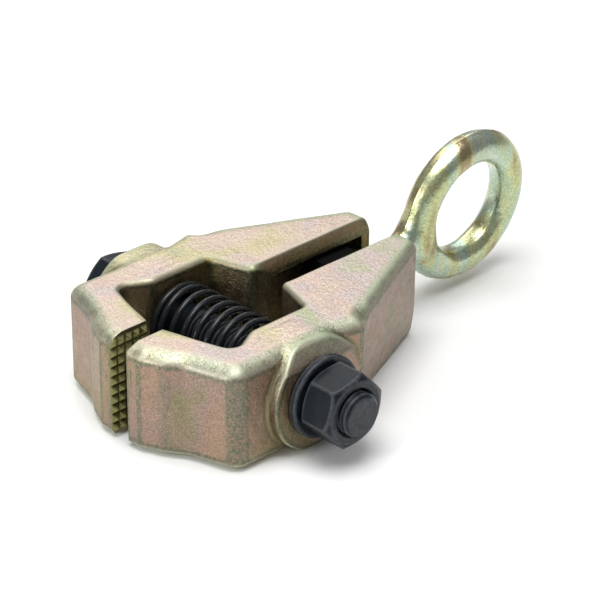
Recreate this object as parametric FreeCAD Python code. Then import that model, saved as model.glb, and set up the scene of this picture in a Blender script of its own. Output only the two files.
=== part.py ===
import FreeCAD, Part
import math
import os

"""Self-tightening pull clamp: two forged jaws, one clamping bolt, a return spring and a swivelling pull eye.

Millimetres.  +X runs from the jaw tips to the pull eye, +Y from the nut side to the bolt-head side,
+Z up.  The origin is the middle of the mouth: jaw tips, centre plane, mid-height.
The front jaw lies on -Y (nut side) and the rear jaw, its mirror image, on +Y.
"""

# ---------------------------------------------------------------- driving dimensions
JAW_HALF_HEIGHT = 19.5
MOUTH_HALF_GAP = 2.2            # centre plane to the tooth tips
TAIL_HALF_GAP = 6.8             # centre plane to the inner face of a tail
JAW_LENGTH = 126.5
OUTER_EDGE_RADIUS = 4.0
INNER_EDGE_RADIUS = 1.5

TOOTH_DEPTH = 2.0
TOOTH_COLUMNS = 5
TOOTH_ROWS = 10
TOOTH_HALF_HEIGHT = 18.0
TOOTH_BLOCK_START = 0.6
TOOTH_BLOCK_END = 17.5

BOLT_X = 48.5
THREAD_DIAMETER = 16.0
THREAD_RUNNING_CLEARANCE = 0.05
BOLT_HOLE_DIAMETER = 19.5
BOLT_LENGTH = 120.0
HEX_ACROSS_FLATS = 24.0
BOLT_HEAD_HEIGHT = 10.0
NUT_HEIGHT = 14.0
NUT_TURN_DEG = 12.0
HEAD_TURN_DEG = 50.0
WASHER_DIAMETER = 30.0
WASHER_BORE = 17.5
WASHER_THICKNESS = 3.0

SEAT_Y = 48.2                   # centre plane to the washer seat on each boss
BOSS_RADIUS = 20.4
BOSS_CROWN_RADIUS = 7.0
BOSS_ROOT_Y = 30.0
THROAT_Y = 24.2                 # centre plane to the spring seat in the throat

SPRING_WIRE = 2.4
SPRING_OUTER_DIAMETER = 30.0
SPRING_PITCH = 5.6
SPRING_END_GAP = 0.4

TAIL_BEVEL_START_X = 74.0
TAIL_BEVEL_WIDTH = 1.8
TAIL_BEVEL_DROP = 3.5

CHANNEL_START_X = 77.0
CHANNEL_END_X = 122.0
CHANNEL_HALF_HEIGHT = 13.0
CHANNEL_FLOOR_Y = 16.0
CHANNEL_MOUTH_Y = 8.2
FLANK_ANGLE_DEG = 30.0

TAIL_RIDGE_START = (75.5, 42.2, 5.0)     # below this line the tail's outer wall slopes in
TAIL_RIDGE_END = (126.5, 17.2, -8.0)
TAIL_FOOT = (99.2, 26.1, -19.5)          # a point on the lower edge of that slope

WEDGE_FRONT_X = 115.4
WEDGE_REAR_X = 100.0
WEDGE_HALF_WIDTH = 14.3
WEDGE_HALF_HEIGHT = 11.0
WEDGE_FLANK_LENGTH = 6.9

BALL_X = 103.0
BALL_RADIUS = 8.0
BALL_CLEARANCE = 0.08
BALL_FLAT_X = 6.5
EYE_TILT_DEG = 11.2             # the eye's shank rises towards the ring
EYE_SWIVEL_DEG = 6.2            # the ring leans over towards the front jaw
EYE_CENTRE_DISTANCE = 65.7      # ball centre to ring centre
RING_MEAN_RADIUS = 23.6
RING_BAR_RADIUS = 6.2
RING_LAND_RADIUS = 17.6
SHANK_RADIUS = 5.2
NECK_LENGTH = 9.0
NECK_SINK = 3.5                 # how far the neck runs into the ring's bar
NECK_SECTIONS = [               # share of the neck's length, half-height, half-width
    (0.0, 5.2, 5.2),
    (0.35, 5.8, 5.3),
    (0.7, 8.0, 5.6),
    (1.0, 12.0, 5.4),
]
PEENED_END_RADIUS = 6.0
PIVOT_STUB_RADIUS = 4.0
PIVOT_STUB_CLEARANCE = 0.05

X_AXIS = FreeCAD.Vector(1, 0, 0)
Y_AXIS = FreeCAD.Vector(0, 1, 0)
Z_AXIS = FreeCAD.Vector(0, 0, 1)
FLANK_SLOPE = math.tan(math.radians(FLANK_ANGLE_DEG))


# ---------------------------------------------------------------- helpers
def vec(x, y, z=0.0):
    return FreeCAD.Vector(x, y, z)


def rounded_outline(corners, closed=True):
    """Wire through corners given as (x, y, radius): straight runs joined by tangent arcs."""
    points = [vec(x, y) for x, y, radius in corners]
    count = len(points)
    entries = []
    for i, (x, y, radius) in enumerate(corners):
        at_end = not closed and i in (0, count - 1)
        if radius == 0 or at_end:
            entries.append((points[i], None, points[i]))
            continue
        to_previous = (points[i - 1] - points[i]).normalize()
        to_next = (points[(i + 1) % count] - points[i]).normalize()
        half_angle = to_previous.getAngle(to_next) / 2
        setback = radius / math.tan(half_angle)
        bisector = (to_previous + to_next).normalize()
        centre = points[i] + bisector * (radius / math.sin(half_angle))
        middle = centre - bisector * radius
        entries.append((points[i] + to_previous * setback, middle, points[i] + to_next * setback))
    edges = []
    for i in range(count):
        start, middle, end = entries[i]
        if middle is not None:
            edges.append(Part.Arc(start, middle, end).toShape())
        if i + 1 < count or closed:
            edges.append(Part.LineSegment(end, entries[(i + 1) % count][0]).toShape())
    return Part.Wire(edges)


def prism(corners, z_low, z_high):
    """Upright prism on a closed outline of (x, y, radius) corners."""
    outline = rounded_outline(corners)
    outline.translate(vec(0, 0, z_low))
    return Part.Face(outline).extrude(vec(0, 0, z_high - z_low))


def box(x_low, x_high, y_low, y_high, z_low, z_high):
    return Part.makeBox(x_high - x_low, y_high - y_low, z_high - z_low, vec(x_low, y_low, z_low))


def rod_along_y(radius, y_low, y_high, x=BOLT_X):
    return Part.makeCylinder(radius, y_high - y_low, vec(x, y_low, 0), Y_AXIS)


def revolve_about_y(profile, x=BOLT_X):
    """Solid of revolution about the bolt axis; profile is a list of (y, radius) points."""
    points = [vec(x + radius, y, 0) for y, radius in profile]
    face = Part.Face(Part.makePolygon(points + points[:1]))
    return face.revolve(vec(x, 0, 0), Y_AXIS, 360)


def hexagon_along_y(across_flats, y_low, y_high, turn_deg):
    radius = across_flats / math.sqrt(3)
    corners = []
    for i in range(6):
        angle = math.radians(turn_deg + 60 * i)
        corners.append(vec(BOLT_X + radius * math.cos(angle), y_low, radius * math.sin(angle)))
    return Part.Face(Part.makePolygon(corners + corners[:1])).extrude(vec(0, y_high - y_low, 0))


def mirror_to_front(shape):
    return shape.mirror(vec(0, 0, 0), Y_AXIS)


# ---------------------------------------------------------------- jaws
INNER_OUTLINE = [
    (TOOTH_BLOCK_START, MOUTH_HALF_GAP + TOOTH_DEPTH, 0.0),
    (TOOTH_BLOCK_END, MOUTH_HALF_GAP + TOOTH_DEPTH, 1.5),
    (26.3, 30.8, 4.0),
    (38.2, THROAT_Y, 6.0),
    (63.3, THROAT_Y, 2.5),
    (68.7, TAIL_HALF_GAP, 3.0),
    (JAW_LENGTH, TAIL_HALF_GAP, 0.0),
]
OUTER_OUTLINE = [
    (JAW_LENGTH, 17.2, 5.0),
    (75.5, 42.2, 3.0),
    (71.3, 46.2, 3.0),
    (61.0, 43.6, 10.0),
    (14.8, 43.8, 6.5),
    (8.8, 24.5, 14.0),
    (0.8, 10.0, 2.5),
]


def rim_edges(solid, line):
    """Edges of the jaw's top and bottom faces that lie on an outline in plan."""
    found = []
    for edge in solid.Edges:
        middle = edge.valueAt((edge.FirstParameter + edge.LastParameter) / 2)
        on_rim = abs(abs(middle.z) - JAW_HALF_HEIGHT) < 0.01
        if on_rim and Part.Vertex(middle.x, middle.y, 0).distToShape(line)[0] < 0.01:
            found.append(edge)
    return found


def jaw_blank():
    """Rear jaw's C-shaped forging, with soft outer edges and tighter inner ones."""
    inner_line = rounded_outline(INNER_OUTLINE, closed=False)
    outer_line = rounded_outline(INNER_OUTLINE[-1:] + OUTER_OUTLINE + INNER_OUTLINE[:1], closed=False)
    blank = prism(INNER_OUTLINE + OUTER_OUTLINE, -JAW_HALF_HEIGHT, JAW_HALF_HEIGHT)
    blank = blank.makeFillet(OUTER_EDGE_RADIUS, rim_edges(blank, outer_line))
    return blank.makeFillet(INNER_EDGE_RADIUS, rim_edges(blank, inner_line))


def tooth_layer():
    """Slab of pointed teeth on the grip face, left by crossed V-grooves."""
    tip_y = MOUTH_HALF_GAP
    root_y = MOUTH_HALF_GAP + TOOTH_DEPTH
    layer = box(TOOTH_BLOCK_START, TOOTH_BLOCK_END, tip_y, root_y + 1.5, -TOOTH_HALF_HEIGHT, TOOTH_HALF_HEIGHT)
    column_pitch = (TOOTH_BLOCK_END - TOOTH_BLOCK_START) / TOOTH_COLUMNS
    row_pitch = 2 * TOOTH_HALF_HEIGHT / TOOTH_ROWS
    grooves = []
    for i in range(TOOTH_COLUMNS + 1):
        x = TOOTH_BLOCK_START + i * column_pitch
        corners = [
            vec(x - column_pitch / 2, tip_y, -JAW_HALF_HEIGHT),
            vec(x, root_y, -JAW_HALF_HEIGHT),
            vec(x + column_pitch / 2, tip_y, -JAW_HALF_HEIGHT),
        ]
        groove = Part.Face(Part.makePolygon(corners + corners[:1]))
        grooves.append(groove.extrude(vec(0, 0, 2 * JAW_HALF_HEIGHT)))
    for i in range(TOOTH_ROWS + 1):
        z = i * row_pitch - TOOTH_HALF_HEIGHT
        corners = [
            vec(TOOTH_BLOCK_START, tip_y, z - row_pitch / 2),
            vec(TOOTH_BLOCK_START, root_y, z),
            vec(TOOTH_BLOCK_START, tip_y, z + row_pitch / 2),
        ]
        groove = Part.Face(Part.makePolygon(corners + corners[:1]))
        grooves.append(groove.extrude(vec(TOOTH_BLOCK_END - TOOTH_BLOCK_START, 0, 0)))
    return layer.cut(grooves)


def bolt_boss(rolled_side):
    """Round boss under the washer: flat seat, rolled off towards the top (1) or the bottom (-1) face."""
    disc = rod_along_y(BOSS_RADIUS, BOSS_ROOT_Y, SEAT_Y)
    crown = box(0, JAW_LENGTH, 0, SEAT_Y, -JAW_HALF_HEIGHT, JAW_HALF_HEIGHT)
    crown_edges = []
    for edge in crown.Edges:
        on_rolled_side = rolled_side * edge.BoundBox.ZMin > 0
        if on_rolled_side and edge.BoundBox.YMin > SEAT_Y - 0.01 and edge.BoundBox.XLength > 1:
            crown_edges.append(edge)
    return disc.common(crown.makeFillet(BOSS_CROWN_RADIUS, crown_edges))


def wedge_channel():
    """Pocket in the tail's inner face: deep floor, then a flank that closes in towards the end wall."""
    flank_start_x = CHANNEL_END_X - (CHANNEL_FLOOR_Y - CHANNEL_MOUTH_Y) / FLANK_SLOPE
    corners = [
        (CHANNEL_START_X, 0.0, 0.0),
        (CHANNEL_START_X + 2.0, CHANNEL_FLOOR_Y, 3.0),
        (flank_start_x, CHANNEL_FLOOR_Y, 1.0),
        (CHANNEL_END_X, CHANNEL_MOUTH_Y, 0.0),
        (CHANNEL_END_X, 0.0, 0.0),
    ]
    return prism(corners, -CHANNEL_HALF_HEIGHT, CHANNEL_HALF_HEIGHT)


def tail_lip_bevels():
    """Sloping bevels along the upper and lower inner edges of the tail."""
    bevels = []
    for side in (1, -1):
        corners = [
            vec(TAIL_BEVEL_START_X, TAIL_HALF_GAP - 0.5, side * (JAW_HALF_HEIGHT - TAIL_BEVEL_DROP - 0.3)),
            vec(TAIL_BEVEL_START_X, TAIL_HALF_GAP + TAIL_BEVEL_WIDTH, side * (JAW_HALF_HEIGHT + 0.01)),
            vec(TAIL_BEVEL_START_X, TAIL_HALF_GAP - 0.5, side * (JAW_HALF_HEIGHT + 0.01)),
        ]
        face = Part.Face(Part.makePolygon(corners + corners[:1]))
        bevels.append(face.extrude(vec(JAW_LENGTH - TAIL_BEVEL_START_X + 1.0, 0, 0)))
    return bevels


def tail_undercut():
    """What lies outside the sloping lower part of the tail's outer wall."""
    start = vec(*TAIL_RIDGE_START)
    along = (vec(*TAIL_RIDGE_END) - start).normalize()
    outwards = along.cross(vec(*TAIL_FOOT) - start).normalize()
    across = outwards.cross(along)
    corners = [start - along * 60 - across * 80, start + along * 90 - across * 80]
    corners += [start + along * 90 + across * 80, start - along * 60 + across * 80]
    outside = Part.Face(Part.makePolygon(corners + corners[:1])).extrude(outwards * 30)
    reach = box(TAIL_RIDGE_START[0], JAW_LENGTH + 1, 0, 60, -JAW_HALF_HEIGHT - 1, TAIL_RIDGE_START[2])
    return outside.common(reach)


def jaw(rolled_side):
    """A jaw in the rear jaw's place."""
    solid = jaw_blank().fuse([bolt_boss(rolled_side), tooth_layer()])
    bolt_hole = rod_along_y(BOLT_HOLE_DIAMETER / 2, 0, SEAT_Y + 1)
    solid = solid.cut([wedge_channel(), bolt_hole, tail_undercut()] + tail_lip_bevels())
    return solid.removeSplitter()


# ---------------------------------------------------------------- clamping bolt, nut, washers, spring
HEAD_SEAT_Y = SEAT_Y + WASHER_THICKNESS
NUT_SEAT_Y = -(SEAT_Y + WASHER_THICKNESS)
BOLT_END_Y = HEAD_SEAT_Y - BOLT_LENGTH


def chamfered_hexagon(y_low, y_high, turn_deg, chamfer_low, chamfer_high):
    """Hexagonal prism whose corners are turned off at 30 degrees on the chosen faces."""
    corner_radius = HEX_ACROSS_FLATS / math.sqrt(3)
    flat_radius = HEX_ACROSS_FLATS / 2 * 0.95
    drop = (corner_radius - flat_radius) * math.tan(math.radians(30))
    profile = [
        (y_low, 0.0),
        (y_low, flat_radius if chamfer_low else corner_radius),
        (y_low + (drop if chamfer_low else 0.01), corner_radius),
        (y_high - (drop if chamfer_high else 0.01), corner_radius),
        (y_high, flat_radius if chamfer_high else corner_radius),
        (y_high, 0.0),
    ]
    return hexagon_along_y(HEX_ACROSS_FLATS, y_low, y_high, turn_deg).common(revolve_about_y(profile))


def clamp_bolt():
    head = chamfered_hexagon(HEAD_SEAT_Y, HEAD_SEAT_Y + BOLT_HEAD_HEIGHT, HEAD_TURN_DEG, False, True)
    radius = THREAD_DIAMETER / 2
    shank = revolve_about_y(
        [
            (BOLT_END_Y, 0.0),
            (BOLT_END_Y, radius - 1.0),
            (BOLT_END_Y + 1.0, radius),
            (HEAD_SEAT_Y + 1.0, radius),
            (HEAD_SEAT_Y + 1.0, 0.0),
        ]
    )
    return head.fuse(shank).removeSplitter()


def clamp_nut():
    """Nut with a countersunk bore at both faces; the bore runs on the bolt's thread crests."""
    outer_face_y = NUT_SEAT_Y - NUT_HEIGHT
    body = chamfered_hexagon(outer_face_y, NUT_SEAT_Y, NUT_TURN_DEG, True, True)
    bore = THREAD_DIAMETER / 2 + THREAD_RUNNING_CLEARANCE
    countersink = 1.3
    hole = revolve_about_y(
        [
            (outer_face_y, 0.0),
            (outer_face_y, bore + countersink),
            (outer_face_y + countersink, bore),
            (NUT_SEAT_Y - countersink, bore),
            (NUT_SEAT_Y, bore + countersink),
            (NUT_SEAT_Y, 0.0),
        ]
    )
    return body.cut(hole)


def washer(y_low):
    disc = rod_along_y(WASHER_DIAMETER / 2, y_low, y_low + WASHER_THICKNESS)
    disc = disc.makeFillet(0.4, [edge for edge in disc.Edges if edge.Length > WASHER_DIAMETER])
    return disc.cut(rod_along_y(WASHER_BORE / 2, y_low - 1, y_low + WASHER_THICKNESS + 1))


def return_spring():
    """Open compression spring around the bolt, between the spring seats of the two throats."""
    mean_radius = (SPRING_OUTER_DIAMETER - SPRING_WIRE) / 2
    length = 2 * (THROAT_Y - SPRING_END_GAP) - SPRING_WIRE
    helix = Part.makeHelix(SPRING_PITCH, length, mean_radius)
    section = Part.Wire([Part.makeCircle(SPRING_WIRE / 2, vec(mean_radius, 0, 0), Y_AXIS)])
    coil = Part.Wire(helix.Edges).makePipeShell([section], True, True)
    coil.rotate(vec(0, 0, 0), X_AXIS, -90)
    coil.translate(vec(BOLT_X, -length / 2, 0))
    return coil


# ---------------------------------------------------------------- pull eye, its ball and the wedge
def pull_wedge():
    """Wedge that spreads the tails, with a rear socket for the ball and a flared passage for the shank."""
    flank_start_x = WEDGE_FRONT_X - WEDGE_FLANK_LENGTH
    nose_half_width = WEDGE_HALF_WIDTH - WEDGE_FLANK_LENGTH * FLANK_SLOPE
    corners = [
        (WEDGE_REAR_X, -WEDGE_HALF_WIDTH, 1.0),
        (flank_start_x, -WEDGE_HALF_WIDTH, 1.0),
        (WEDGE_FRONT_X, -nose_half_width, 1.0),
        (WEDGE_FRONT_X, nose_half_width, 1.0),
        (flank_start_x, WEDGE_HALF_WIDTH, 1.0),
        (WEDGE_REAR_X, WEDGE_HALF_WIDTH, 1.0),
    ]
    block = prism(corners, -WEDGE_HALF_HEIGHT, WEDGE_HALF_HEIGHT)
    ball_centre = vec(BALL_X, 0, 0)
    socket_radius = BALL_RADIUS + BALL_CLEARANCE
    socket = Part.makeSphere(socket_radius, ball_centre)
    entry = Part.makeCylinder(socket_radius, BALL_X - WEDGE_REAR_X + 1, ball_centre, X_AXIS * -1)
    passage_length = WEDGE_FRONT_X - BALL_X
    passage = Part.makeCone(SHANK_RADIUS + 0.4, SHANK_RADIUS + 4.4, passage_length + 0.01, ball_centre, X_AXIS)
    return block.cut([socket, entry, passage])


def place_eye_part(shape, swivels=True):
    """Moves a piece from the eye's own frame, x along the shank from the ball centre, into place."""
    placed = shape.copy()
    if swivels:
        placed.rotate(vec(0, 0, 0), X_AXIS, EYE_SWIVEL_DEG)
    placed.rotate(vec(0, 0, 0), Y_AXIS, -EYE_TILT_DEG)
    placed.translate(vec(BALL_X, 0, 0))
    return placed


def swivel_ball():
    ball = Part.makeSphere(BALL_RADIUS)
    bore = PIVOT_STUB_RADIUS + PIVOT_STUB_CLEARANCE
    ball = ball.cut(Part.makeCylinder(bore, 4 * BALL_RADIUS, vec(-2 * BALL_RADIUS, 0, 0), X_AXIS))
    faces_x = BALL_FLAT_X
    trim = box(-faces_x, faces_x, -10, 10, -10, 10)
    return place_eye_part(ball.common(trim), swivels=False)


def pull_eye():
    """Forged ring on a shank that swivels in the ball and is peened over behind it."""
    centre = vec(EYE_CENTRE_DISTANCE, 0, 0)
    ring = Part.makeTorus(RING_MEAN_RADIUS, RING_BAR_RADIUS, centre, Y_AXIS)
    hole = Part.makeCylinder(RING_LAND_RADIUS, 30, centre - Y_AXIS * 15, Y_AXIS)
    ring_edge = EYE_CENTRE_DISTANCE - RING_MEAN_RADIUS - RING_BAR_RADIUS
    face_x = BALL_FLAT_X + 0.3
    stub = Part.makeCylinder(PIVOT_STUB_RADIUS, 2 * face_x, vec(-face_x, 0, 0), X_AXIS)
    neck_start = ring_edge - NECK_LENGTH
    shank = Part.makeCylinder(SHANK_RADIUS, neck_start - face_x, vec(face_x, 0, 0), X_AXIS)
    neck_sections = []
    for share, height, width in NECK_SECTIONS:
        section = Part.Circle(vec(0, 0, 0), Z_AXIS, SHANK_RADIUS)
        if height > width:
            section = Part.Ellipse(vec(0, 0, 0), height, width)
        section = section.toShape()
        section.rotate(vec(0, 0, 0), Y_AXIS, -90)
        section.translate(vec(neck_start + share * (NECK_LENGTH + NECK_SINK), 0, 0))
        neck_sections.append(Part.Wire([section]))
    neck = Part.makeLoft(neck_sections, True)
    peened_end = Part.makeSphere(PEENED_END_RADIUS, vec(-face_x, 0, 0))
    peened_end = peened_end.common(box(-face_x - 3.3, -face_x, -10, 10, -10, 10))
    eye = ring.fuse([stub, shank, neck, peened_end]).cut(hole).removeSplitter()
    return place_eye_part(eye)


# ---------------------------------------------------------------- export
def build():
    os.makedirs("parts", exist_ok=True)
    nodes = {
        "jaw_rear": jaw(rolled_side=-1),
        "jaw_front": mirror_to_front(jaw(rolled_side=1)),
        "clamp_bolt": clamp_bolt(),
        "clamp_nut": clamp_nut(),
        "washer_front": washer(-SEAT_Y - WASHER_THICKNESS),
        "washer_rear": washer(SEAT_Y),
        "return_spring": return_spring(),
        "pull_wedge": pull_wedge(),
        "swivel_ball": swivel_ball(),
        "pull_eye": pull_eye(),
    }
    for name, shape in nodes.items():
        print(f"{name}: valid {shape.isValid()}, solids {len(shape.Solids)}, {shape.Volume / 1000:.2f} cm3")
        shape.Solids[0].exportStep(f"parts/{name}.step")


build()
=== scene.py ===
"""Looks of a self-tightening pull clamp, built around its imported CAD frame."""

import math

import bmesh
import bpy
import numpy as np
from mathutils import Matrix, Vector, noise


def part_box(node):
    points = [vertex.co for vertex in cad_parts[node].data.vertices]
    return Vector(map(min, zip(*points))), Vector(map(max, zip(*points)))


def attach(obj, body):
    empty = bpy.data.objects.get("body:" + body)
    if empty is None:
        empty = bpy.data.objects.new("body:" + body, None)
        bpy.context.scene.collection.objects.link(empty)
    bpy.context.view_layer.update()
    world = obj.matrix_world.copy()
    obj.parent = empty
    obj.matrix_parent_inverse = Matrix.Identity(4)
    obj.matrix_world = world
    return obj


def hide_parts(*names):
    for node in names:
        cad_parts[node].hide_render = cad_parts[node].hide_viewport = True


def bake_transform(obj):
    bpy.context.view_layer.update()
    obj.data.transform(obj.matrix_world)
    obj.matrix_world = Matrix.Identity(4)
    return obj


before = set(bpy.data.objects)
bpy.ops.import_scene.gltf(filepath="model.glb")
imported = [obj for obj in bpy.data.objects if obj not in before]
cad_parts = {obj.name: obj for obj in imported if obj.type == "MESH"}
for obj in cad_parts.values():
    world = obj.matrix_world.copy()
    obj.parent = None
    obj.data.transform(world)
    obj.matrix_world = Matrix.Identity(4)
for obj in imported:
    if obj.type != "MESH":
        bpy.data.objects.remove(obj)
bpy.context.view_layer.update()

# ---------------------------------------------------------------- driving sizes, in millimetres
MM = 0.001
FINE_STEP = 0.42                     # mesh spacing on the bolt's hexagons and washers
HALF_HEIGHT = 19.5                   # jaws, above and below the centre plane
INNER_OUTLINE = [                    # rear jaw in plan: x, y, corner radius, from the tip to the tail
    (0.4, 2.2, 0.0),
    (17.5, 2.2, 0.0),
    (17.5, 4.2, 0.6),
    (26.3, 30.8, 4.0),
    (38.2, 24.2, 6.0),
    (63.3, 24.2, 2.5),
    (68.7, 6.8, 3.0),
]
OUTER_OUTLINE = [                    # back again along the outside
    (126.5, 6.8, 0.8),
    (126.5, 17.2, 5.0),
    (75.5, 42.2, 3.0),
    (71.3, 46.2, 3.0),
    (61.0, 43.6, 10.0),
    (14.8, 43.8, 6.5),
    (8.8, 24.5, 14.0),
    (0.8, 10.0, 2.5),
]
NOSE_SWELL = (5.1, 17.9)             # the outer wall swells a little here, beside the nose
NOSE_SWELL_HEIGHT = 0.9
NOSE_SWELL_WIDTH = 4.5
OUTER_EDGE_RADIUS = 3.4
INNER_EDGE_RADIUS = 2.4
MOUTH_EDGE_RADIUS = 0.7
TOP_FALL = 1.5                       # how far the top drops towards the outer wall
UNDERSIDE_FALL = 0.4                 # the same on the underside
LIP_TOP_Y = 8.6                      # the tail's inner lip slopes down from here
LIP_WIDTH = 2.2
LIP_SLOPE = 1.9

BOLT_X = 48.5
BOLT_HOLE_RADIUS = 9.75
SEAT_Y = 48.2                        # flat seat under the washer
SEAT_HALF_HEIGHT = 12.4
BOSS_RADIUS = 20.4
BOSS_ROOT_Y = 30.0
BOSS_FILLET = 1.6
CROWN_SLOPE = 0.42                   # where the boss starts to roll off above its seat
CROWN_RADIUS = 13.0

NUT_TURN = 12.0                      # degrees about the bolt
HEAD_TURN = 50.0

TOOTH_DEPTH = 2.0
TOOTH_COLUMNS = 5
TOOTH_ROWS = 10
TOOTH_HALF_HEIGHT = 18.0
TOOTH_X = (0.6, 17.5)

CHANNEL_X = (77.0, 122.0)            # slot in the tail that the wedge runs in
CHANNEL_HALF_HEIGHT = 13.0
CHANNEL_FLOOR_Y = 16.0

TAIL_RIDGE_START = (75.5, 42.2, 5.0)  # below this line the tail's outer wall slopes in
TAIL_RIDGE_END = (126.5, 17.2, -8.0)
TAIL_FOOT = (99.2, 26.1, -19.5)

WASHER_BORE = 17.5
ACROSS_FLATS = 24.0
HEAD_HEIGHT = 10.0
CHAMFER_START = 0.46                 # share of the width across flats
CHAMFER_ANGLE = math.radians(30)
SHARP_EDGE = 0.25
COUNTERSINK = 1.1
THREAD_PLAY = 0.15
THREAD_RADIUS = 7.9
THREAD_DEPTH = 1.2
THREAD_PITCH = 2.0
THREAD_TOP_Y = 12.0                  # the bolt is plain from here up to its head
END_CHAMFER = 1.4

SPRING_WIRE = 2.4
SPRING_RADIUS = 15.0
SPRING_PITCH = 5.6
SPRING_END_ROOM = 0.75               # left free at each end, so that the jaws can rock

BALL_X = 103.0
EYE_TILT = math.radians(11.2)
EYE_SWIVEL = math.radians(6.2)
RING_DISTANCE = 65.7                 # from the ball's centre to the ring's
RING_MEAN_RADIUS = 23.6
RING_BAR_RADIUS = 6.2
RING_LAND_RADIUS = 17.6
SHANK_RADIUS = 5.2
STUB_RADIUS = 4.0
NECK_FILLET = 8.0
FLASH_HEIGHT = 0.28                  # the low line round the outside of the ring
FLASH_WIDTH = 0.9
BALL_HALF_WIDTH = 6.8                # the ball's half-length along the shank
PEENED_LENGTH = 3.3

FULL_RIDGE = 0.16                    # curvature, per millimetre, that counts as a whole ridge
FULL_HOLLOW = 0.12


# ---------------------------------------------------------------- distance fields
def round_max(a, b, radius):
    """Intersection of two fields, with their common edge rounded to the radius."""
    inside = np.minimum(np.maximum(a, b), -radius)
    return inside + np.hypot(np.maximum(a + radius, 0), np.maximum(b + radius, 0))


def soft_min(a, b, width):
    """Union of two fields, with a fillet about as wide as width."""
    share = np.clip(0.5 + 0.5 * (b - a) / width, 0, 1)
    return b + (a - b) * share - width * share * (1 - share)


def ramp(value, low, high):
    """0 at low, 1 at high, and smooth between them."""
    t = np.clip((value - low) / (high - low), 0, 1)
    return t * t * (3 - 2 * t)


def rounded_polygon(corners, closed=True):
    """Points along an outline whose corners are rounded to their own radius."""
    points = []
    count = len(corners)
    for i, (x, y, radius) in enumerate(corners):
        here = np.array((x, y))
        at_end = not closed and i in (0, count - 1)
        if radius == 0 or at_end:
            points.append(here)
            continue
        before = np.array(corners[i - 1][:2]) - here
        after = np.array(corners[(i + 1) % count][:2]) - here
        before = before / np.linalg.norm(before)
        after = after / np.linalg.norm(after)
        half_angle = math.acos(float(np.clip(before @ after, -1, 1))) / 2
        reach = radius / math.tan(half_angle)
        middle_line = (before + after) / np.linalg.norm(before + after)
        centre = here + middle_line * radius / math.sin(half_angle)
        start = here + before * reach - centre
        end = here + after * reach - centre
        turn = math.atan2(start[0] * end[1] - start[1] * end[0], start @ end)
        steps = max(2, int(abs(turn) / 0.12))
        for k in range(steps + 1):
            angle = turn * k / steps
            c, s = math.cos(angle), math.sin(angle)
            points.append(centre + np.array((c * start[0] - s * start[1], s * start[0] + c * start[1])))
    return np.array(points)


def line_distance(x, y, points, closed):
    """Distance in plan from each place to a run of straight segments."""
    ends = np.roll(points, -1, axis=0) if closed else points[1:]
    best = np.full(x.shape, 1e9)
    for a, b in zip(points, ends):
        d = b - a
        length2 = max(float(d @ d), 1e-12)
        t = np.clip(((x - a[0]) * d[0] + (y - a[1]) * d[1]) / length2, 0, 1)
        best = np.minimum(best, np.hypot(x - a[0] - t * d[0], y - a[1] - t * d[1]))
    return best


def inside_outline(x, y, points):
    inside = np.zeros(x.shape, bool)
    for a, b in zip(points, np.roll(points, -1, axis=0)):
        if a[1] == b[1]:
            continue
        crosses = (a[1] > y) != (b[1] > y)
        inside ^= crosses & (x < a[0] + (y - a[1]) * (b[0] - a[0]) / (b[1] - a[1]))
    return inside


INNER_LINE = rounded_polygon(INNER_OUTLINE + OUTER_OUTLINE[:1], closed=False)
OUTER_LINE = rounded_polygon(INNER_OUTLINE[-1:] + OUTER_OUTLINE + INNER_OUTLINE[:1], closed=False)[1:]
WHOLE_LINE = rounded_polygon(INNER_OUTLINE + OUTER_OUTLINE)


def tail_slope_normal():
    """Outward normal of the plane through the tail's ridge and the lower edge beneath it."""
    start = np.array(TAIL_RIDGE_START)
    normal = np.cross(np.array(TAIL_RIDGE_END) - start, np.array(TAIL_FOOT) - start)
    return normal / np.linalg.norm(normal)


TAIL_SLOPE_NORMAL = tail_slope_normal()


def jaw_blank(x, y, z):
    """The jaw's C shape without its boss, holes and teeth."""
    to_outer = line_distance(x, y, OUTER_LINE, closed=False)
    to_inner = line_distance(x, y, INNER_LINE, closed=False)
    plan = np.minimum(to_outer, to_inner)
    plan = np.where(inside_outline(x, y, WHOLE_LINE), -plan, plan)
    from_swell = np.hypot(x - NOSE_SWELL[0], y - NOSE_SWELL[1])
    plan = plan - NOSE_SWELL_HEIGHT * np.exp(-(from_swell / NOSE_SWELL_WIDTH) ** 2)

    # the top falls away towards the outer wall, and steeply along the tail's inner lip
    fall = np.where(z > 0, TOP_FALL, UNDERSIDE_FALL)
    outer_fall = fall * ramp(-to_outer, -6.0, -0.5) * (1 - 0.8 * ramp(x, 74, 82))
    lip_fall = LIP_SLOPE * ramp(x, 70.0, 78.0) * np.clip(LIP_TOP_Y - y, 0, LIP_WIDTH)
    top = HALF_HEIGHT - outer_fall - lip_fall
    near_inner = ramp(to_outer - to_inner, -3, 3)
    at_mouth = near_inner * (1 - ramp(x, 17, 22))
    radius = OUTER_EDGE_RADIUS + (INNER_EDGE_RADIUS - OUTER_EDGE_RADIUS) * near_inner
    radius = radius - (INNER_EDGE_RADIUS - MOUTH_EDGE_RADIUS) * at_mouth
    blank = round_max(plan, np.abs(z) - top, radius)

    # the lower part of the tail's outer wall slopes in
    undercut = (np.stack([x, y, z], -1) - np.array(TAIL_RIDGE_START)) @ TAIL_SLOPE_NORMAL
    return round_max(blank, np.minimum(undercut, x - TAIL_RIDGE_START[0]), 1.2)


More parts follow.
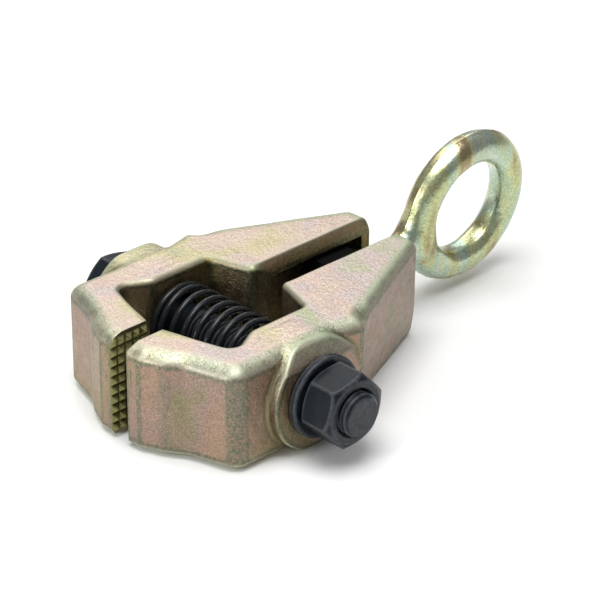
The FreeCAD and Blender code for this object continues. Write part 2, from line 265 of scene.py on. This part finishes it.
def boss_field(x, y, z, rolled_side):
    """Boss round the bolt: its flat seat has a straight edge where the rough crown rolls off."""
    crown_height = np.maximum(z * rolled_side - SEAT_HALF_HEIGHT, 0)
    drop = CROWN_SLOPE * crown_height + crown_height ** 2 / (2 * CROWN_RADIUS)
    disc = np.hypot(x - BOLT_X, z) - BOSS_RADIUS
    boss = np.maximum(round_max(disc, y - (SEAT_Y - drop), 0.8), BOSS_ROOT_Y - y)
    return round_max(boss, np.abs(z) - (HALF_HEIGHT - 0.2), 1.2)


def channel_field(x, y, z):
    """The slot that the wedge runs in."""
    middle_x = sum(CHANNEL_X) / 2
    half_length = (CHANNEL_X[1] - CHANNEL_X[0]) / 2
    channel = np.maximum(np.abs(x - middle_x) - half_length, np.abs(z) - CHANNEL_HALF_HEIGHT)
    return np.maximum(channel, y - CHANNEL_FLOOR_Y)


def jaw_field(x, y, z, rolled_side):
    """A jaw in the rear jaw's place, below zero inside the steel.

    Its boss rolls off towards the top (1) or the bottom (-1).
    """
    jaw = soft_min(jaw_blank(x, y, z), boss_field(x, y, z, rolled_side), BOSS_FILLET)
    jaw = np.maximum(jaw, BOLT_HOLE_RADIUS - np.hypot(x - BOLT_X, z))
    jaw = np.maximum(jaw, -channel_field(x, y, z))
    return np.maximum(jaw, tooth_valleys(x, y, z))


def tooth_valleys(x, y, z):
    """Above zero in the valleys between the pyramid teeth of the rear jaw."""
    pitch_x = (TOOTH_X[1] - TOOTH_X[0]) / TOOTH_COLUMNS
    pitch_z = 2 * TOOTH_HALF_HEIGHT / TOOTH_ROWS
    u = np.abs(((x - TOOTH_X[0]) / pitch_x) % 1 - 0.5) * 2
    v = np.abs(((z + TOOTH_HALF_HEIGHT) / pitch_z) % 1 - 0.5) * 2
    on_block = (x < TOOTH_X[1] + 0.3) & (y < 8)
    root_y = INNER_OUTLINE[0][1] + TOOTH_DEPTH
    surface_y = root_y - TOOTH_DEPTH * (1 - np.maximum(u, v))
    surface_y = np.where(np.abs(z) > TOOTH_HALF_HEIGHT, root_y, surface_y)
    steepness = math.hypot(1, TOOTH_DEPTH / (pitch_z / 2))
    return np.where(on_block, (surface_y - y) / steepness, -5.0)


# ---------------------------------------------------------------- meshes from fields
def spaced(low, high, step):
    return np.linspace(low, high, max(2, int(round((high - low) / step)) + 1))


def joined_steps(*runs):
    """Grid lines from several runs, each (low, high, step), that meet end to end."""
    lines = [spaced(*run) for run in runs]
    return np.concatenate([lines[0]] + [line[1:] for line in lines[1:]])


def field_mesh(field, xs, ys, zs):
    """Closed quad mesh on the zero level of a field, sampled on a box of grid lines."""
    shape = (len(xs), len(ys), len(zs))
    grid = np.meshgrid(xs, ys, zs, indexing="ij")
    values = field(*grid)
    inside = values < 0
    total = np.zeros(tuple(n - 1 for n in shape) + (3,))
    count = np.zeros(tuple(n - 1 for n in shape))
    for axis in range(3):
        low = [slice(None)] * 3
        high = [slice(None)] * 3
        low[axis] = slice(0, -1)
        high[axis] = slice(1, None)
        a, b = values[tuple(low)], values[tuple(high)]
        crossing = inside[tuple(low)] != inside[tuple(high)]
        share = np.where(crossing, a / np.where(crossing, a - b, 1), 0)
        others = [k for k in range(3) if k != axis]
        place = [g[tuple(low)].copy() for g in grid]
        place[axis] = place[axis] + share * (grid[axis][tuple(high)] - grid[axis][tuple(low)])
        for da in (0, 1):
            for db in (0, 1):
                cut = [slice(None)] * 3
                for k, d in zip(others, (da, db)):
                    cut[k] = slice(d, shape[k] - 1 + d)
                cut = tuple(cut)
                count += crossing[cut]
                for k in range(3):
                    total[..., k] += place[k][cut] * crossing[cut]
    used = count > 0
    number = np.full(used.shape, -1)
    number[used] = np.arange(int(used.sum()))
    points = total[used] / count[used][:, None]

    faces = []
    for axis in range(3):
        others = [k for k in range(3) if k != axis]
        low = [slice(1, -1)] * 3
        high = [slice(1, -1)] * 3
        low[axis] = slice(0, -1)
        high[axis] = slice(1, None)
        a, b = inside[tuple(low)], inside[tuple(high)]
        for flip, chosen in ((False, a & ~b), (True, ~a & b)):
            where = np.argwhere(chosen)
            where[:, others] += 1
            corners = []
            for da, db in ((0, 0), (1, 0), (1, 1), (0, 1)):
                cell = where.copy()
                cell[:, others[0]] -= da
                cell[:, others[1]] -= db
                corners.append(number[tuple(cell.T)])
            if flip != (axis == 1):
                corners.reverse()
            faces.append(np.stack(corners, axis=1))
    faces = np.concatenate(faces)
    for _ in range(2):
        points = onto_surface(points, field)
    return points, faces


def onto_surface(points, field):
    """Each point moves down the field's slope to its zero level, by at most a third of a millimetre."""
    step = 0.02
    value = field(*points.T)
    slope = np.zeros_like(points)
    for axis in range(3):
        shifted = points.copy()
        shifted[:, axis] += step
        slope[:, axis] = (field(*shifted.T) - value) / step
    size2 = np.maximum((slope ** 2).sum(axis=1), 0.25)
    move = -(value / size2)[:, None] * slope
    length = np.maximum(np.linalg.norm(move, axis=1), 1e-9)
    return points + move * np.minimum(1, 0.33 / length)[:, None]


def mesh_object(name, points, faces, smooth=True):
    """A Blender object from points in millimetres."""
    mesh = bpy.data.meshes.new(name)
    mesh.from_pydata((np.asarray(points) * MM).tolist(), [], np.asarray(faces).tolist())
    mesh.update()
    piece = bpy.data.objects.new(name, mesh)
    bpy.context.scene.collection.objects.link(piece)
    mesh.polygons.foreach_set("use_smooth", [smooth] * len(mesh.polygons))
    return piece


def forged_skin(points, faces, depth, scale, seed, keep=None):
    """Low, broad unevenness of a forging, along the surface's normals."""
    corners = points[faces]
    normal = np.cross(corners[:, 2] - corners[:, 0], corners[:, 3] - corners[:, 1])
    normals = np.zeros_like(points)
    for k in range(4):
        np.add.at(normals, faces[:, k], normal)
    normals /= np.maximum(np.linalg.norm(normals, axis=1), 1e-9)[:, None]
    offset = Vector((seed * 31.7, seed * 17.3, seed * 5.1))
    height = np.array([noise.noise(Vector(p) * scale + offset) for p in points])
    fine = np.array([noise.noise(Vector(p) * scale * 4.3 - offset) for p in points])
    height = (height + 0.22 * fine) * depth
    if keep is not None:
        height = height * keep(points)
    return points + normals * (height - depth * 0.6)[:, None]


# ---------------------------------------------------------------- pieces
def node_box(node):
    """A CAD node's lowest and highest corner, in millimetres."""
    return [np.array(corner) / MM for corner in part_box(node)]


def finish_piece(piece, body, node, material):
    piece.data.materials.append(material)
    store_ridges(piece)
    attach(piece, body)
    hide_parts(node)


def store_value(mesh, name, value):
    attribute = mesh.attributes.new(name, "FLOAT", "POINT")
    attribute.data.foreach_set("value", value.astype(np.float32))


def store_ridges(piece):
    """Vertex values for the materials: how convex or hollow the surface is, and how level."""
    mesh = piece.data
    count = len(mesh.vertices)
    points = np.empty(count * 3)
    normals = np.empty(count * 3)
    mesh.vertices.foreach_get("co", points)
    mesh.vertices.foreach_get("normal", normals)
    points = points.reshape(-1, 3) / MM
    normals = normals.reshape(-1, 3)
    ends = np.empty(len(mesh.edges) * 2, int)
    mesh.edges.foreach_get("vertices", ends)
    a, b = ends.reshape(-1, 2).T
    along = points[b] - points[a]
    bend = ((normals[b] - normals[a]) * along).sum(axis=1) / np.maximum((along ** 2).sum(axis=1), 1e-6)
    degree = np.bincount(a, minlength=count) + np.bincount(b, minlength=count)
    degree = np.maximum(degree, 1)
    bulge = (np.bincount(a, bend, count) + np.bincount(b, bend, count)) / degree
    for _ in range(2):
        spread = np.bincount(a, bulge[b], count) + np.bincount(b, bulge[a], count)
        bulge = 0.5 * bulge + 0.5 * spread / degree
    store_value(mesh, "ridge", np.clip(bulge / FULL_RIDGE, 0, 1))
    store_value(mesh, "hollow", np.clip(-bulge / FULL_HOLLOW, 0, 1))
    store_value(mesh, "level", np.abs(normals[:, 2]))


def rough_share(points):
    """1 on the forged skin, 0 on the machined seat and the teeth of either jaw."""
    x, y, z = points.T
    seat = (np.abs(y) > SEAT_Y - 0.4) & (np.hypot(x - BOLT_X, z) < BOSS_RADIUS)
    teeth = (x < TOOTH_X[1] + 1) & (np.abs(y) < 6)
    return np.where(seat | teeth, 0.0, 1.0)


def store_jaw_zones(mesh, points):
    """Vertex values for the plating: the toothed grip, the outer rim and the inner walls."""
    x, y, z = points.T
    y = np.abs(y)
    # grip and throat mark where painted shade goes: the teeth between the jaws and the inner walls
    grip = (x < TOOTH_X[1] + 0.4) & (y < 4.4) & (np.abs(z) < TOOTH_HALF_HEIGHT + 0.2)
    to_outer = line_distance(x, y, OUTER_LINE, closed=False)
    to_inner = line_distance(x, y, INNER_LINE, closed=False)
    store_value(mesh, "grip", grip)
    store_value(mesh, "rim", 1 - ramp(to_outer, 2.5, 6.5))
    store_value(mesh, "throat", 1 - ramp(to_inner, 0.8, 2.6))


def make_jaws(material):
    tooth_start, tooth_end = TOOTH_X
    tooth_step = (tooth_end - tooth_start) / TOOTH_COLUMNS / 8
    over_teeth = (tooth_start, tooth_end, tooth_step)
    xs = joined_steps((-0.6, tooth_start, 0.4), over_teeth, (tooth_end, 127.3, 0.62))
    ys = joined_steps((1.6, 6.0, 0.4), (6.0, 49.0, 0.56))
    zs = spaced(-20.25, 20.25, 0.45)
    for name, body, side, seed in (("jaw_rear", "rear_jaw", 1, 1), ("jaw_front", "front_jaw", -1, 2)):
        points, faces = field_mesh(lambda x, y, z: jaw_field(x, y, z, -side), xs, ys, zs)
        placed = points * np.array((1, side, 1))
        ordered = faces if side > 0 else faces[:, ::-1]
        placed = forged_skin(placed, ordered, 0.16, 0.09, seed, rough_share)
        jaw = mesh_object(name + "_forging", placed, ordered)
        finish_piece(jaw, body, name, material)
        store_jaw_zones(jaw.data, placed)


def hexagon_field(x, y, z, turn, low_y, high_y, chamfer_low, chamfer_high):
    """Hexagonal prism about the bolt's axis, with a 30 degree chamfer at the ends that have one."""
    dx = x - BOLT_X
    sides = None
    for k in range(3):
        angle = turn + (k + 0.5) * math.pi / 3
        flat = np.abs(dx * math.cos(angle) + z * math.sin(angle)) - ACROSS_FLATS / 2
        sides = flat if sides is None else round_max(sides, flat, SHARP_EDGE)
    field = round_max(sides, np.maximum(low_y - y, y - high_y), SHARP_EDGE)
    drop = (np.hypot(dx, z) - CHAMFER_START * ACROSS_FLATS) * math.tan(CHAMFER_ANGLE)
    for wanted, reach in ((chamfer_low, low_y - y), (chamfer_high, y - high_y)):
        if wanted:
            field = round_max(field, (reach + drop) * math.cos(CHAMFER_ANGLE), SHARP_EDGE)
    return field


def hexagon_mesh(field, low_y, high_y):
    margin = 0.6
    reach = 0.6 * ACROSS_FLATS + margin
    across = spaced(-reach, reach, FINE_STEP)
    along = spaced(low_y - margin, high_y + margin, FINE_STEP)
    return field_mesh(field, BOLT_X + across, along, across)


def make_nut(material):
    low, high = node_box("clamp_nut")

    def field(x, y, z):
        radial = np.hypot(x - BOLT_X, z)
        nut = hexagon_field(x, y, z, math.radians(NUT_TURN), low[1], high[1], True, True)
        from_face = np.minimum(y - low[1], high[1] - y)
        bore = THREAD_RADIUS + THREAD_PLAY + np.maximum(COUNTERSINK - from_face, 0)
        return round_max(nut, bore - radial, 0.2)

    points, faces = hexagon_mesh(field, low[1], high[1])
    nut = mesh_object("hexagon_nut", points, faces)
    finish_piece(nut, "nut", "clamp_nut", material)


def make_bolt(material):
    low, high = node_box("clamp_bolt")
    head_y = high[1] - HEAD_HEIGHT

    def head_field(x, y, z):
        return hexagon_field(x, y, z, math.radians(HEAD_TURN), head_y, high[1], False, True)

    points, faces = hexagon_mesh(head_field, head_y, high[1])
    head = mesh_object("bolt_head", points, faces)
    finish_piece(head, "bolt", "clamp_bolt", material)

    rows = np.arange(low[1], head_y + 0.4, THREAD_PITCH / 10)
    around = 44
    shank_points = []
    for y in rows:
        for k in range(around):
            share = k / around
            radius = thread_radius(y, share, low[1])
            angle = 2 * math.pi * share
            shank_points.append((BOLT_X + radius * math.sin(angle), y, radius * math.cos(angle)))
    quads = tube_faces(len(rows), around)
    shank = capped_tube("bolt_shank", shank_points, quads, len(rows), around)
    finish_piece(shank, "bolt", "clamp_bolt", material)


def thread_radius(y, turned, end_y):
    """The shank's radius at a share of a turn: chamfered end, thread, then plain up to the head."""
    wave = abs((y / THREAD_PITCH - turned) % 1 - 0.5) * 2
    cut = THREAD_DEPTH * min(max(1.25 * wave - 0.12, 0), 1)
    cut *= float(1 - ramp(y, THREAD_TOP_Y - 3, THREAD_TOP_Y))
    cut *= float(ramp(y, end_y + 1.5, end_y + 4.5))
    return min(THREAD_RADIUS - cut, THREAD_RADIUS - END_CHAMFER + 0.9 * (y - end_y))


def tube_faces(rows, around):
    faces = []
    for i in range(rows - 1):
        low = i * around
        high = low + around
        for k in range(around):
            after = (k + 1) % around
            faces.append((low + k, low + after, high + after, high + k))
    return faces


def capped_tube(name, points, quads, rows, around):
    """A tube closed by a flat face at each end, with its normals outwards."""
    mesh = bpy.data.meshes.new(name)
    last = (rows - 1) * around
    caps = [list(range(around))[::-1], list(range(last, last + around))]
    mesh.from_pydata((np.array(points) * MM).tolist(), [], [list(q) for q in quads] + caps)
    shape = bmesh.new()
    shape.from_mesh(mesh)
    bmesh.ops.recalc_face_normals(shape, faces=shape.faces)
    for face in shape.faces:
        face.smooth = len(face.verts) == 4
    shape.to_mesh(mesh)
    shape.free()
    piece = bpy.data.objects.new(name, mesh)
    bpy.context.scene.collection.objects.link(piece)
    return piece


def make_washers(material):
    for node, body in (("washer_front", "front_washer"), ("washer_rear", "bolt")):
        low, high = node_box(node)
        middle = (low + high) / 2
        half = (high - low) / 2

        def field(x, y, z):
            radial = np.hypot(x - BOLT_X, z)
            ring = round_max(radial - half[0], np.abs(y - middle[1]) - half[1], 0.7)
            return round_max(ring, WASHER_BORE / 2 - radial, 0.4)

        across = spaced(-half[0] - 0.6, half[0] + 0.6, FINE_STEP)
        along = spaced(low[1] - 0.5, high[1] + 0.5, 0.36)
        points, faces = field_mesh(field, BOLT_X + across, along, across)
        washer = mesh_object(node + "_plate", points, faces)
        finish_piece(washer, body, node, material)


def make_spring(material):
    """Round wire in a right-hand helix, with one closed turn ground flat at each end."""
    low, high = node_box("return_spring")
    half = (high[1] - low[1]) / 2
    centre_y = (high[1] + low[1]) / 2
    travel = 2 * half - SPRING_WIRE
    end_turn = SPRING_WIRE + 0.15
    open_turns = (travel - 2 * end_turn) / SPRING_PITCH
    turns = open_turns + 2
    steps_per_turn = 56
    steps = int(turns * steps_per_turn)
    around = 14
    mean = SPRING_RADIUS - SPRING_WIRE / 2
    points = []
    for i in range(steps + 1):
        turn = turns * i / steps
        along = np.interp(turn, (0, 1, 1 + open_turns, turns), (0, end_turn, travel - end_turn, travel))
        angle = 2 * math.pi * turn
        for k in range(around):
            roll = 2 * math.pi * k / around
            radius = mean + SPRING_WIRE / 2 * math.cos(roll)
            y = centre_y - travel / 2 + along + SPRING_WIRE / 2 * math.sin(roll)
            y = min(max(y, low[1] + SPRING_END_ROOM), high[1] - SPRING_END_ROOM)
            points.append((BOLT_X + radius * math.sin(angle), y, radius * math.cos(angle)))
    spring = capped_tube("coil_spring", points, tube_faces(steps + 1, around), steps + 1, around)
    spring.data.materials.append(material)
    store_ridges(spring)
    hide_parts("return_spring")
    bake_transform(spring)


def eye_field(x, y, z):
    """The pull eye in its own frame: x along the shank from the ball's centre, ring in the x-z plane."""
    radial = np.hypot(x - RING_DISTANCE, z)
    ring = np.hypot(radial - RING_MEAN_RADIUS, y) - RING_BAR_RADIUS
    outside = ramp(radial, RING_MEAN_RADIUS, RING_MEAN_RADIUS + 4)
    flash = FLASH_HEIGHT * np.exp(-(y / FLASH_WIDTH) ** 2) * outside
    ring = round_max(ring - flash, RING_LAND_RADIUS - radial, 0.5)
    from_axis = np.hypot(y, z)
    neck_end = RING_DISTANCE - RING_MEAN_RADIUS
    shank = round_max(from_axis - SHANK_RADIUS, np.maximum(BALL_HALF_WIDTH - x, x - neck_end), 0.4)
    eye = soft_min(ring, shank, NECK_FILLET)
    eye = np.maximum(eye, RING_LAND_RADIUS - radial)
    stub = np.maximum(from_axis - STUB_RADIUS, np.abs(x) - BALL_HALF_WIDTH - 0.5)
    head = np.hypot(from_axis, x + BALL_HALF_WIDTH) - 1.5 * STUB_RADIUS
    head = round_max(head, np.maximum(x + BALL_HALF_WIDTH, -x - BALL_HALF_WIDTH - PEENED_LENGTH), 0.3)
    return np.minimum(eye, np.minimum(stub, head))


def make_eye(material):
    reach = RING_MEAN_RADIUS + RING_BAR_RADIUS + 1.0
    xs = joined_steps((-11.0, 30.0, 0.6), (30.0, RING_DISTANCE + reach, 0.55))
    ys = spaced(-8.0, 8.0, 0.5)
    zs = spaced(-reach, reach, 0.55)
    points, faces = field_mesh(eye_field, xs, ys, zs)
    points = forged_skin(points, faces, 0.14, 0.16, 5)
    eye = mesh_object("forged_eye", points, faces)
    turn = Matrix.Rotation(-EYE_TILT, 4, "Y") @ Matrix.Rotation(EYE_SWIVEL, 4, "X")
    eye.data.transform(Matrix.Translation((BALL_X * MM, 0, 0)) @ turn)
    finish_piece(eye, "eye", "pull_eye", material)


# ---------------------------------------------------------------- materials
def new_material(name):
    material = bpy.data.materials.new(name)
    material.use_nodes = True
    tree = material.node_tree
    return material, tree, tree.nodes["Principled BSDF"]


def add(tree, kind, inputs, **settings):
    """A shader node whose inputs are plain values or other nodes' outputs."""
    node = tree.nodes.new(kind)
    for name, value in settings.items():
        setattr(node, name, value)
    for name, value in inputs.items():
        if isinstance(value, bpy.types.NodeSocket):
            tree.links.new(value, node.inputs[name])
        else:
            node.inputs[name].default_value = value
    return node


def noise_value(tree, place, scale, detail=3.0, roughness=0.5, distortion=0.0):
    inputs = {"Vector": place, "Scale": scale, "Detail": detail}
    inputs.update({"Roughness": roughness, "Distortion": distortion})
    return add(tree, "ShaderNodeTexNoise", inputs).outputs[0]


def remap(tree, value, low, high, to_low=0.0, to_high=1.0):
    inputs = {"Value": value, "From Min": low, "From Max": high, "To Min": to_low, "To Max": to_high}
    return add(tree, "ShaderNodeMapRange", inputs).outputs[0]


def combine(tree, operation, a, b):
    node = add(tree, "ShaderNodeMath", {0: a, 1: b}, operation=operation)
    return node.outputs[0]


def times(tree, a, b):
    return combine(tree, "MULTIPLY", a, b)


def mix_colour(tree, share, a, b, blend_type="MIX"):
    node = add(tree, "ShaderNodeMix", {0: share, 6: a, 7: b}, data_type="RGBA", blend_type=blend_type)
    return node.outputs[2]


def tinted(tree, share, colour, tint):
    """The colour with a share of a plain tint over it."""
    return mix_colour(tree, share, colour, (*tint, 1))


def ramp_colour(tree, value, stops):
    node = add(tree, "ShaderNodeValToRGB", {0: value})
    elements = node.color_ramp.elements
    while len(elements) < len(stops):
        elements.new(0.5)
    for element, (place, colour) in zip(elements, stops):
        element.position = place
        element.color = (*colour, 1)
    return node.outputs[0]


def vertex_value(tree, name):
    return add(tree, "ShaderNodeAttribute", {}, attribute_name=name).outputs["Fac"]


def object_place(tree):
    return add(tree, "ShaderNodeTexCoord", {}).outputs["Object"]


def bump_chain(tree, shader, heights):
    """Bumps on one another, each (height, strength, distance in metres)."""
    normal = None
    for height, strength, distance in heights:
        inputs = {"Height": height, "Strength": strength, "Distance": distance}
        if normal is not None:
            inputs["Normal"] = normal
        normal = add(tree, "ShaderNodeBump", inputs).outputs[0]
    tree.links.new(normal, shader.inputs["Normal"])


LAVENDER = (0.66, 0.56, 0.53)        # colours of the plating
PINK = (0.72, 0.57, 0.49)
BEIGE = (0.72, 0.61, 0.49)
GOLD = (0.66, 0.59, 0.37)
GREEN = (0.54, 0.56, 0.38)
TEAL = (0.58, 0.74, 0.62)
BRONZE = (0.50, 0.40, 0.24)
PALE = (0.70, 0.76, 0.64)
LEMON = (0.74, 0.76, 0.44)
RIM_GREEN = (0.44, 0.51, 0.34)
# painted light colours: shade in the throat, highlights on top edges, shade on upright corners, in
# hollows and on the teeth
THROAT_SHADE_OLIVE = (0.50, 0.47, 0.30)
EDGE_HIGHLIGHT_GREEN = (0.50, 0.54, 0.42)
CORNER_SHADE_DARK = (0.13, 0.155, 0.105)
HOLLOW_SHADE_BROWN = (0.20, 0.17, 0.09)
GRIP_SHADE_OLIVE = (0.20, 0.195, 0.07)
NICK_GREY = (0.22, 0.23, 0.25)       # marks in the black oxide
WORN_GREY = (0.30, 0.31, 0.34)


def zinc_plating(name, stops, patch_scale, pebbles, roughness, wall_shade_tint, corners):
    """Iridescent yellow zinc plating on forged steel.

    The stops are the colours of its patches and patch_scale is how fine they are.  The skin's bumps and
    mottle follow pebbles, walls are multiplied by a painted wall shade, and the painted highlights and
    painted shade on corners follow corners.
    """
    material, tree, shader = new_material(name)
    place = object_place(tree)
    level = vertex_value(tree, "level")
    ridge = vertex_value(tree, "ridge")
    hollow = vertex_value(tree, "hollow")

    # patches of colour
    stretched = add(tree, "ShaderNodeMapping", {"Vector": place, "Scale": (1.0, 1.0, 0.4)}).outputs[0]
    patches = noise_value(tree, stretched, patch_scale, 2.0, 0.5, 0.6)
    mottle = noise_value(tree, place, patch_scale * 4.5, 4.0, 0.6)
    shift = 0.044 * pebbles
    film = combine(tree, "ADD", patches, remap(tree, mottle, 0.3, 0.7, -shift, shift))
    colour = ramp_colour(tree, film, stops)

    # green along the outer rim, painted shade on the walls, and painted olive shade in the throat
    rim = times(tree, vertex_value(tree, "rim"), level)
    rim = times(tree, rim, remap(tree, patches, 0.36, 0.50))
    colour = tinted(tree, times(tree, rim, 0.85), colour, RIM_GREEN)
    # painted shade: upright faces darker than level ones
    wall = mix_colour(tree, remap(tree, level, 0.15, 0.9), (*wall_shade_tint, 1), (1, 1, 1, 1))
    # painted olive shade on the inner walls of the throat
    wall = tinted(tree, times(tree, vertex_value(tree, "throat"), 0.8), wall, THROAT_SHADE_OLIVE)
    colour = mix_colour(tree, 1.0, colour, wall, "MULTIPLY")

    # fine grain
    grain = remap(tree, noise_value(tree, place, 1500, 5.0, 0.65), 0.34, 0.66, 0.66, 1.2)
    grey = add(tree, "ShaderNodeCombineColor", {0: grain, 1: grain, 2: grain}).outputs[0]
    colour = mix_colour(tree, 1.0, colour, grey, "MULTIPLY")

    # painted pale green highlights along the top edges, and painted dark shade on upright corners and in
    # fillets
    edge = times(tree, remap(tree, ridge, 0.3, 0.9), remap(tree, level, 0.25, 0.6))
    colour = tinted(tree, times(tree, edge, 0.4 * corners), colour, EDGE_HIGHLIGHT_GREEN)
    # painted shade, speckled by the flecks, on upright corners and in fillets
    uneven = combine(tree, "ADD", ridge, remap(tree, mottle, 0.3, 0.7, -0.14, 0.12))
    corner = remap(tree, uneven, 0.08, 0.38)
    fillet = remap(tree, hollow, 0.6, 1.0, 0.0, 0.7)
    upright_shade = times(tree, combine(tree, "MAXIMUM", corner, fillet), remap(tree, level, 0.5, 0.2))
    flecks = noise_value(tree, place, 1000, 4.0, 0.75)
    flecks = remap(tree, flecks, 0.45, 0.54, corners, 0.25 * corners)
    colour = tinted(tree, times(tree, upright_shade, flecks), colour, CORNER_SHADE_DARK)
    # painted brown shade in the hollows
    colour = tinted(tree, remap(tree, hollow, 0.1, 1.0, 0.0, 0.7), colour, HOLLOW_SHADE_BROWN)
    # painted dark olive shade on the teeth between the jaws
    colour = tinted(tree, times(tree, vertex_value(tree, "grip"), 0.85), colour, GRIP_SHADE_OLIVE)
    tree.links.new(colour, shader.inputs["Base Color"])
    shader.inputs["Metallic"].default_value = 0.95

    # the skin is duller and calmer along the top edges
    top_edge = times(tree, ridge, level)
    cloud = noise_value(tree, place, 260, 3.0)
    rough = remap(tree, cloud, 0.3, 0.7, roughness - 0.07, roughness + 0.09)
    rough = combine(tree, "ADD", rough, remap(tree, top_edge, 0.1, 0.5, 0.0, 0.16 * corners))
    tree.links.new(rough, shader.inputs["Roughness"])
    fine = noise_value(tree, place, 1700, 4.0, 0.6)
    coarse = noise_value(tree, place, 560, 3.0, 0.55)
    calm = times(tree, remap(tree, top_edge, 0.1, 0.5, 1.0, 0.15), pebbles)
    bump_chain(tree, shader, [(coarse, calm, 0.0004), (fine, calm, 0.0002)])
    return material


def black_finish(name, colour, roughness, wear, gloss):
    """Black oxide, with thin light wear on its edges and small bright nicks."""
    material, tree, shader = new_material(name)
    place = object_place(tree)
    ridge = vertex_value(tree, "ridge")
    cloud = noise_value(tree, place, 210, 4.0, 0.6)
    lighter = tuple(1.7 * c for c in colour)
    base = tinted(tree, remap(tree, cloud, 0.35, 0.7), (*colour, 1), lighter)
    scuffs = noise_value(tree, place, 520, 3.0, 0.7, 1.0)
    nicks = remap(tree, scuffs, 0.69, 0.74)
    base = tinted(tree, times(tree, nicks, 0.5), base, NICK_GREY)
    edge = times(tree, remap(tree, ridge, 0.45, 1.0), remap(tree, scuffs, 0.35, 0.6, 0.35, 1.0))
    base = tinted(tree, times(tree, edge, wear), base, WORN_GREY)
    tree.links.new(base, shader.inputs["Base Color"])
    shader.inputs["Specular IOR Level"].default_value = gloss
    dull = noise_value(tree, place, 340, 3.0)
    rough = remap(tree, dull, 0.3, 0.7, roughness - 0.06, roughness + 0.08)
    tree.links.new(rough, shader.inputs["Roughness"])
    fine = noise_value(tree, place, 2400, 3.0, 0.6)
    bump_chain(tree, shader, [(fine, 0.12, 0.0001)])
    return material


JAW_FILM = [
    (0.34, GREEN), (0.40, GOLD), (0.46, BEIGE), (0.55, PINK), (0.62, LAVENDER), (0.70, GREEN),
]
EYE_FILM = [
    (0.34, BRONZE), (0.41, LEMON), (0.48, TEAL), (0.54, PALE), (0.61, LEMON), (0.68, BRONZE),
]

jaw_finish = zinc_plating(
    "jaw_zinc", JAW_FILM, patch_scale=27, pebbles=0.8, roughness=0.38,
    wall_shade_tint=(0.49, 0.42, 0.36), corners=1.0,
)
eye_finish = zinc_plating(
    "eye_zinc", EYE_FILM, patch_scale=52, pebbles=0.3, roughness=0.27,
    wall_shade_tint=(0.74, 0.76, 0.68), corners=0.0,
)
oxide_finish = black_finish(
    "black_oxide_steel", (0.004, 0.007, 0.010), roughness=0.36, wear=0.15, gloss=0.25
)
spring_finish = black_finish(
    "spring_black", (0.002, 0.003, 0.004), roughness=0.16, wear=0.05, gloss=0.35
)
# near black and very rough: painted shade for the hidden wedge and ball in the gap between the tails
wedge_shade_black = black_finish(
    "wedge_painted_shade_black", (0.003, 0.003, 0.003), roughness=0.9, wear=0.0, gloss=0.1
)

make_jaws(jaw_finish)
make_nut(oxide_finish)
make_bolt(oxide_finish)
make_washers(oxide_finish)
make_spring(spring_finish)
make_eye(eye_finish)
# the wedge and the ball take the painted shade black
for hidden_node in ("pull_wedge", "swivel_ball"):
    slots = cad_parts[hidden_node].material_slots
    slots[0].material = wedge_shade_black


# ---------------------------------------------------------------- camera, light and floor
CAMERA_PLACE = (-0.5576, -0.6737, 0.5086)        # metres, as are all places and sizes below
CAMERA_TILT = math.radians(61.52)
CAMERA_TURN = math.radians(-43.64)
STAGE_CENTRE = (0.06, 0, 0)
FLOOR_SIZE = 6
FLOOR_Z = -HALF_HEIGHT * MM - 0.0004


def add_camera():
    data = bpy.data.cameras.new("camera")
    data.lens = 180
    data.sensor_width = 36
    camera = bpy.data.objects.new("camera", data)
    camera.location = CAMERA_PLACE
    camera.rotation_euler = (CAMERA_TILT, 0, CAMERA_TURN)
    bpy.context.scene.collection.objects.link(camera)
    bpy.context.scene.camera = camera


def add_area(name, location, size, watts, colour):
    """A rectangular lamp that faces the middle of the stage."""
    data = bpy.data.lights.new(name, "AREA")
    data.shape = "RECTANGLE"
    data.size, data.size_y = size
    data.energy = watts
    data.color = colour
    lamp = bpy.data.objects.new(name, data)
    lamp.location = location
    direction = Vector(STAGE_CENTRE) - Vector(location)
    lamp.rotation_euler = direction.to_track_quat("-Z", "Y").to_euler()
    bpy.context.scene.collection.objects.link(lamp)


def add_stage():
    """Pale paper floor and even white surroundings."""
    bpy.ops.mesh.primitive_plane_add(size=FLOOR_SIZE, location=(STAGE_CENTRE[0], 0, FLOOR_Z))
    floor = bpy.context.object
    floor.name = "floor"
    material = bpy.data.materials.new("floor_paper")
    material.use_nodes = True
    shader = material.node_tree.nodes["Principled BSDF"]
    shader.inputs["Base Color"].default_value = (0.93, 0.93, 0.93, 1)
    shader.inputs["Roughness"].default_value = 0.9
    floor.data.materials.append(material)
    world = bpy.data.worlds.new("studio")
    bpy.context.scene.world = world
    world.use_nodes = True
    background = world.node_tree.nodes["Background"]
    background.inputs["Color"].default_value = (1, 1, 1, 1)
    background.inputs["Strength"].default_value = 0.26
    bpy.context.scene.view_settings.view_transform = "Standard"


add_camera()
add_stage()
add_area("back", (0.5, 0.72, 0.74), (1.0, 0.75), 3.7, (1, 0.99, 0.97))
add_area("overhead", (-0.05, -0.1, 0.95), (0.7, 0.7), 9, (1, 1, 1))
add_area("left", (-0.85, 0.1, 0.30), (0.25, 0.5), 4, (0.98, 0.99, 1))
